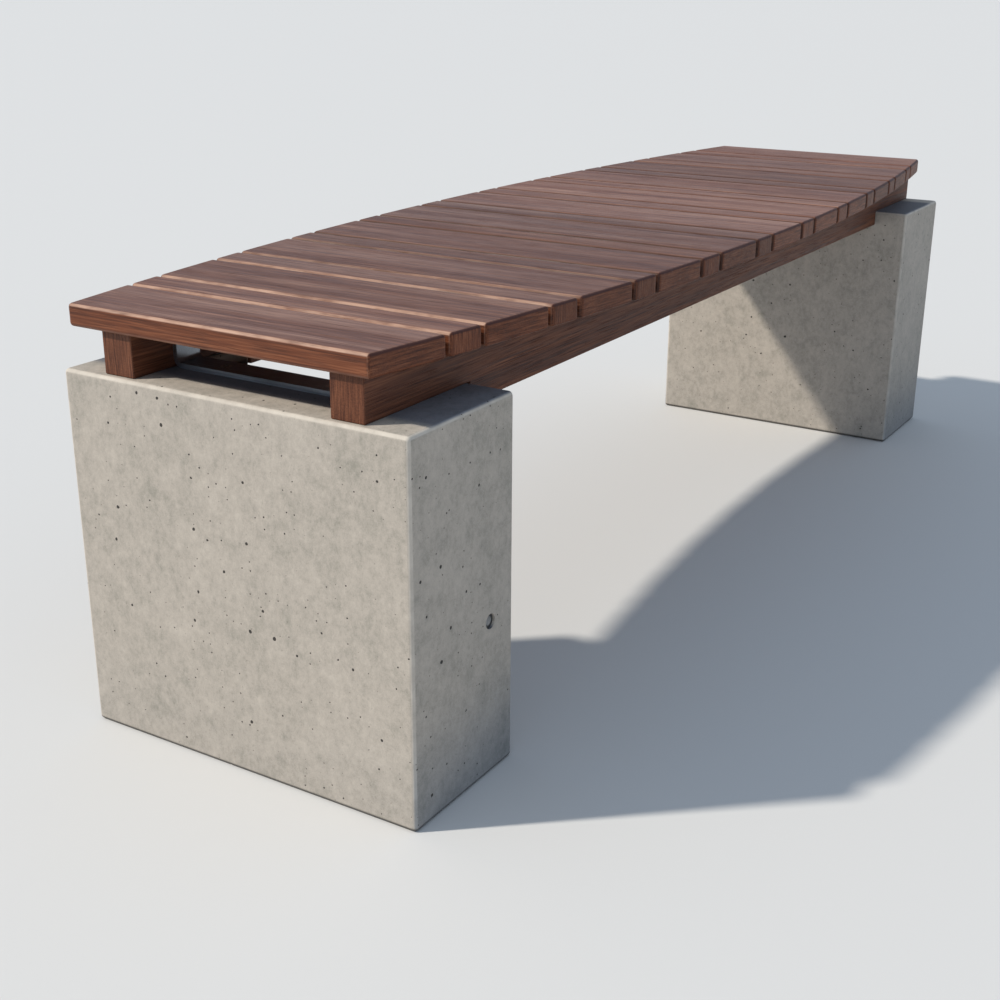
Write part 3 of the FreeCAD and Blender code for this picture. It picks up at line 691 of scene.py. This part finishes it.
def makeBearer(nodeName):
    low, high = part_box(nodeName)
    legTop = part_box("leg_left")[1].z
    shoulder = bearers["shoulder"]
    bm = bmesh.new()
    boxBetween(bm, (low.x, low.y, legTop), high)
    for x in (-shoulder, shoulder):
        cutAt(bm, (x, 0, 0), (1, 0, 0))
    bm.normal_update()
    drop = [f for f in bm.faces if f.normal.z < -0.5 and abs(f.calc_center_median().x) < shoulder]
    pullFaces(bm, drop, (0, 0, low.z - legTop))
    easeArrises(bm, bearers["easing"], bearers["easingSegments"])
    fillLayer(bm, "boardShift", rng.uniform(0, 1))
    fillLayer(bm, "boardTone", rng.uniform(*bearers["toneRange"]))
    fillLayer(bm, "boardLift", rng.uniform(*bearers["liftRange"]))
    fillLayer(bm, "quarterSawn", bearers["quarterSawn"])
    fillLayer(bm, "boardWearGlint", bearers["wearGlint"])
    fillLayer(bm, "gapShade", 0.0)
    piece = newMeshPiece(bm, nodeName.replace("bearer", "beam"), bearerTimber, nodeName)

    # a pair of bores under each wide slat and one under each narrow slat
    middle = (low.y + high.y) / 2
    pitch, each = bearers["screwPitch"], bearers["pitchesEachWay"]
    across = bearers["pairSpread"] / 2
    rows = [pitch * k + side for k in range(-each, each + 1) for side in (-across, across)]
    rows += [pitch * (k + 0.5) for k in range(-each, each)]
    depth = legTop + bearers["headSeat"] - low.z
    drills = bmesh.new()
    for x in rows:
        addDrill(drills, Vector((x, middle, low.z)), (0, 0, 1), bearers["headBore"], depth,
                 bearers["boreSegments"])
    drillOut(piece, drills)


for nodeName in ("bearer_front", "bearer_rear"):
    makeBearer(nodeName)
print("bearers made")


legs = {
    "easing": 0.0048,
    "easingSegments": 4,
    "rebateDepth": 0.024,
    "rebateFrom": 0.095,           # leg's outer face to the rebate
    "liftRadius": 0.008,
    "liftDepth": 0.064,
    "anchorRadius": 0.006,
    "anchorDepth": 0.040,
    "holeSegments": 32,
}


def makeLeg(nodeName, way):
    # way is +1 where the inner face looks along +X
    low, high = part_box(nodeName)
    outer = low.x if way > 0 else high.x
    rebateX = outer + way * legs["rebateFrom"]
    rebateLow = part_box("bearer_front")[1].y
    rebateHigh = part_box("bearer_rear")[0].y
    bm = bmesh.new()
    boxBetween(bm, low, (high.x, high.y, high.z - legs["rebateDepth"]))
    cutAt(bm, (rebateX, 0, 0), (1, 0, 0))
    cutAt(bm, (0, rebateLow, 0), (0, 1, 0))
    cutAt(bm, (0, rebateHigh, 0), (0, 1, 0))
    bm.normal_update()

    def isRaised(face):
        centre = face.calc_center_median()
        inRebate = rebateLow < centre.y < rebateHigh and (centre.x - rebateX) * way > 0
        return face.normal.z > 0.5 and not inRebate

    pullFaces(bm, [f for f in bm.faces if isRaised(f)], (0, 0, legs["rebateDepth"]))
    easeArrises(bm, legs["easing"], legs["easingSegments"])
    piece = newMeshPiece(bm, nodeName.replace("leg", "block"), castConcrete, nodeName)

    drills = bmesh.new()
    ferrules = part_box("lifting_ferrules")
    liftX = way * ferrules[0].x + way * legs["liftRadius"]
    liftZ = (ferrules[0].z + ferrules[1].z) / 2
    face = low.y if way > 0 else high.y
    addDrill(drills, Vector((liftX, face, liftZ)), (0, way, 0), legs["liftRadius"], legs["liftDepth"],
             legs["holeSegments"])
    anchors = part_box("anchor_sockets")
    radius = legs["anchorRadius"]
    anchorX = way * (anchors[0].x + radius)
    for y in (anchors[0].y + radius, anchors[1].y - radius):
        addDrill(drills, Vector((anchorX, y, high.z)), (0, 0, -1), radius, legs["anchorDepth"],
                 legs["holeSegments"])
    drillOut(piece, drills)


makeLeg("leg_left", 1)
makeLeg("leg_right", -1)
print("legs made")


studio = {
    "floorSize": 150,
    "floorColour": (0.62, 0.62, 0.62, 1),
    "floorRoughness": 0.9,
    "sunWay": (-0.72, 0.85, 1.0),  # towards the light
    "sunStrength": 3.6,
    "sunColour": (1.0, 0.93, 0.82),
    "sunAngle": 2.5,               # degrees
    "skyColour": (0.70, 0.83, 1.0, 1),
    "skyStrength": 0.60,
    "lens": 51.48,                 # millimetres
    "sensor": 36,
    "farClip": 100,
    "azimuth": -58.327,            # degrees
    "elevation": 20.392,
    "roll": 0.273,
    "cameraAt": (-1.7226, -0.8877, 0.7609),
}


def makeStudio():
    bm = bmesh.new()
    bmesh.ops.create_grid(bm, x_segments=1, y_segments=1, size=studio["floorSize"])
    mesh = bpy.data.meshes.new("floor")
    bm.to_mesh(mesh)
    bm.free()
    floor = bpy.data.objects.new("floor", mesh)
    material, tree, shader = startMaterial("floorPaint")
    shader.inputs["Base Color"].default_value = studio["floorColour"]
    shader.inputs["Roughness"].default_value = studio["floorRoughness"]
    mesh.materials.append(material)
    scene.collection.objects.link(floor)

    light = bpy.data.lights.new("sun", "SUN")
    light.energy = studio["sunStrength"]
    light.color = studio["sunColour"]
    light.angle = math.radians(studio["sunAngle"])
    sun = bpy.data.objects.new("sun", light)
    sun.rotation_euler = Vector(studio["sunWay"]).to_track_quat("Z", "Y").to_euler()
    scene.collection.objects.link(sun)

    world = bpy.data.worlds.new("sky")
    world.use_nodes = True
    background = world.node_tree.nodes["Background"]
    background.inputs["Color"].default_value = studio["skyColour"]
    background.inputs["Strength"].default_value = studio["skyStrength"]
    scene.world = world
    scene.view_settings.view_transform = "Standard"


def makeCamera():
    azimuth = math.radians(studio["azimuth"])
    elevation = math.radians(studio["elevation"])
    roll = math.radians(studio["roll"])
    back = Vector((math.sin(azimuth) * math.cos(elevation), -math.cos(azimuth) * math.cos(elevation),
                   math.sin(elevation)))
    right = Vector((math.cos(azimuth), math.sin(azimuth), 0))
    up = back.cross(right)
    turnedRight = right * math.cos(roll) + up * math.sin(roll)
    turnedUp = up * math.cos(roll) - right * math.sin(roll)
    data = bpy.data.cameras.new("camera")
    data.lens = studio["lens"]
    data.sensor_width = studio["sensor"]
    data.clip_end = studio["farClip"]
    camera = bpy.data.objects.new("camera", data)
    rotation = Matrix((turnedRight, turnedUp, back)).transposed().to_4x4()
    camera.matrix_world = Matrix.Translation(studio["cameraAt"]) @ rotation
    scene.collection.objects.link(camera)
    scene.camera = camera


makeStudio()
makeCamera()
print("studio ready")
